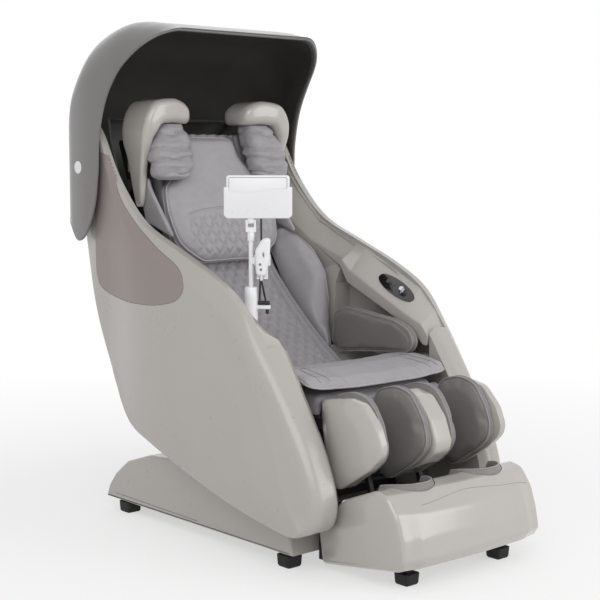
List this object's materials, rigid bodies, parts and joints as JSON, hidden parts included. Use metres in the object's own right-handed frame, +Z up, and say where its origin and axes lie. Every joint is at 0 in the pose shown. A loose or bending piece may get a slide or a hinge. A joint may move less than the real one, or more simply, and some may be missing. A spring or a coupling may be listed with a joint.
{
  "type": "massage chair",
  "caption": "Hooded full-body massage chair with tall side shells, quilted seat and back, shoulder units, calf and foot wells, and a tablet stand on one armrest.",
  "frame": {"origin": "on the floor, in the middle of the chair's footprint", "axes": "+Z up; -Y is the way the sitter faces; +X is the sitter's left"},
  "size_m": [0.72, 1.308, 1.288],
  "materials": {
    "black_steel": "satin",
    "machine_steel": "satin",
    "black_plastic": "matte",
    "gloss_black": "glossy",
    "greige_shell": "satin paint",
    "hood_paint": "satin paint",
    "hood_lining": "matte, stitched",
    "bronze_inlay": "satin",
    "taupe_leather": "soft sheen",
    "dark_leather": "soft sheen",
    "rubber_black": "matte",
    "white_plastic": "glossy",
    "chrome_trim": "polished",
    "grey_plastic": "matte",
    "cord_rubber": "satin"
  },
  "bodies": {
    "base": {"base_frame": "black_steel", "base_cover": "greige_shell", "base_nose": "black_plastic", "rubber_feet": "rubber_black", "slide_rails": "machine_steel", "control_box": "grey_plastic", "power_inlet": "black_plastic"},
    "mains_switch": {"mains_switch": "gloss_black"},
    "carriage": {"slide_carriage": "black_steel", "tilt_motor": "grey_plastic"},
    "seat_body": {"seat_frame": "black_steel", "air_pump": "grey_plastic", "guide_rails": "machine_steel", "side_panel_left": "greige_shell", "side_panel_right": "greige_shell", "side_inlays": "bronze_inlay", "armrest_left": "greige_shell", "armrest_right": "greige_shell", "joystick_panel": "gloss_black", "control_panel": "chrome_trim", "stand_base": "white_plastic", "tablet_post": "white_plastic", "tablet_cord": "cord_rubber", "handset_cord": "cord_rubber", "cord_plug": "cord_rubber", "hip_pads": "dark_leather", "seat_cushion": "taupe_leather", "seat_flap": "taupe_leather", "seat_fascia": "taupe_leather", "back_cushion": "taupe_leather", "back_bolsters": "taupe_leather", "head_pad": "taupe_leather", "wing_pads": "taupe_leather", "rear_cover": "black_plastic"},
    "hood": {"hood_shell": "hood_paint", "hood_liner": "hood_lining", "hood_caps": "white_plastic"},
    "shoulder_left": {"shoulder_shell_left": "greige_shell", "shoulder_sleeve_left": "dark_leather"},
    "shoulder_right": {"shoulder_shell_right": "greige_shell", "shoulder_sleeve_right": "dark_leather"},
    "massage_carriage": {"massage_carriage": "grey_plastic"},
    "massage_rollers": {"massage_rollers": "black_plastic"},
    "leg_rest": {"leg_frame": "black_steel", "calf_shell_left": "greige_shell", "calf_shell_right": "greige_shell", "calf_divider": "greige_shell", "calf_pads_outer": "dark_leather", "calf_pads_inner": "dark_leather"},
    "foot_rest": {"foot_shell": "greige_shell", "foot_pads": "dark_leather", "foot_bumpers": "rubber_black"},
    "foot_rollers": {"foot_rollers": "black_plastic"},
    "tablet_tray": {"tablet_tray": "white_plastic"},
    "tablet": {"tablet": "gloss_black"},
    "handset": {"handset": "white_plastic"},
    "joystick": {"joystick": "chrome_trim"},
    "button_front": {"button_front": "gloss_black"},
    "button_middle": {"button_middle": "gloss_black"},
    "button_rear": {"button_rear": "gloss_black"}
  },
  "joints": [
    {"name": "mains_switch_rock", "type": "hinge", "parent": "base", "child": "mains_switch", "pos_m": [-0.176, 0.403, 0.065], "axis": [1, 0, 0], "range_deg": [-8, 8]},
    {"name": "carriage_run", "type": "slide", "parent": "base", "child": "carriage", "axis": [0, -1, 0], "range_m": [0, 0.12]},
    {"name": "seat_tilt", "type": "hinge", "parent": "carriage", "child": "seat_body", "pos_m": [0, 0.12, 0.235], "axis": [-1, 0, 0], "range_deg": [0, 30]},
    {"name": "hood_tip", "type": "hinge", "parent": "seat_body", "child": "hood", "pos_m": [0, 0.461, 0.913], "axis": [-1, 0, 0], "range_deg": [0, 15]},
    {"name": "shoulder_left_rise", "type": "slide", "parent": "seat_body", "child": "shoulder_left", "axis": [0, 0.3404, 0.9403], "range_m": [0, 0.05]},
    {"name": "shoulder_right_rise", "type": "slide", "parent": "seat_body", "child": "shoulder_right", "axis": [0, 0.3404, 0.9403], "range_m": [0, 0.05]},
    {"name": "massage_climb", "type": "slide", "parent": "seat_body", "child": "massage_carriage", "axis": [0, 0.3811, 0.9245], "range_m": [0, 0.18]},
    {"name": "massage_knead", "type": "hinge", "parent": "massage_carriage", "child": "massage_rollers", "pos_m": [0, 0.335, 0.7], "axis": [1, 0, 0], "range_deg": [-20, 20]},
    {"name": "leg_lift", "type": "hinge", "parent": "seat_body", "child": "leg_rest", "pos_m": [0, -0.425, 0.386], "axis": [-1, 0, 0], "range_deg": [0, 80]},
    {"name": "foot_run_out", "type": "slide", "parent": "leg_rest", "child": "foot_rest", "axis": [0, -0.2823, -0.9593], "range_m": [0, 0.1]},
    {"name": "foot_roller_spin", "type": "hinge", "parent": "foot_rest", "child": "foot_rollers", "pos_m": [0, -0.515, 0.084], "axis": [1, 0, 0], "continuous": true},
    {"name": "tray_tilt", "type": "hinge", "parent": "seat_body", "child": "tablet_tray", "pos_m": [-0.248, -0.147, 0.789], "axis": [0.7466, -0.6652, 0], "range_deg": [-15, 15]},
    {"name": "tablet_lift", "type": "slide", "parent": "tablet_tray", "child": "tablet", "axis": [0, 0, 1], "range_m": [0, 0.1]},
    {"name": "handset_lift", "type": "slide", "parent": "seat_body", "child": "handset", "axis": [0, 0, 1], "range_m": [0, 0.04]},
    {"name": "joystick_rock", "type": "hinge", "parent": "seat_body", "child": "joystick", "pos_m": [0.26264, -0.14358, 0.59189], "axis": [0.7414, -0.2854, 0.6073], "range_deg": [-12, 12], "stiffness_Nm_per_rad": 0.05},
    {"name": "button_front_press", "type": "slide", "parent": "seat_body", "child": "button_front", "axis": [-0.671, 0.3154, -0.671], "range_m": [0, 0.0015], "stiffness_N_per_m": 300},
    {"name": "button_middle_press", "type": "slide", "parent": "seat_body", "child": "button_middle", "axis": [-0.671, 0.3154, -0.671], "range_m": [0, 0.0015], "stiffness_N_per_m": 300},
    {"name": "button_rear_press", "type": "slide", "parent": "seat_body", "child": "button_rear", "axis": [-0.671, 0.3154, -0.671], "range_m": [0, 0.0015], "stiffness_N_per_m": 300}
  ],
  "couplings": [
    {"joint": "carriage_run", "follows": "seat_tilt", "m_per_rad": 0.2291},
    {"joint": "foot_run_out", "follows": "leg_lift", "m_per_rad": 0.0716}
  ]
}
